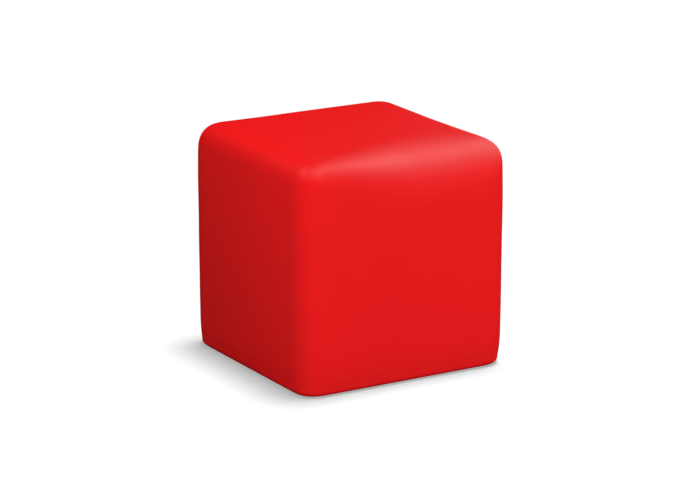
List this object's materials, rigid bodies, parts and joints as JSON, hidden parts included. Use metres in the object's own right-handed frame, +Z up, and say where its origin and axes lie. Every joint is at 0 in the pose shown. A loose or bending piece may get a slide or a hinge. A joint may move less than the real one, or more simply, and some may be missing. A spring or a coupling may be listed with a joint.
{
  "type": "giant yard dice",
  "caption": "Giant blank dice block for yard games: soft foam sealed in a seamless red polyurethane skin, with broad rounded edges and a flat base skin that meets the ground.",
  "frame": {"origin": "on the ground, under the middle of the block", "axes": "+Z up out of the top face, +X out of the right-hand side face and +Y out of the back face; the four side faces are alike"},
  "size_m": [0.3, 0.3, 0.3],
  "materials": {
    "foam": "matte",
    "red_skin": "satin",
    "red_skin_base": "satin"
  },
  "bodies": {
    "root": {"foam_core": "foam", "body_skin": "red_skin", "base_skin": "red_skin_base"}
  },
  "joints": []
}
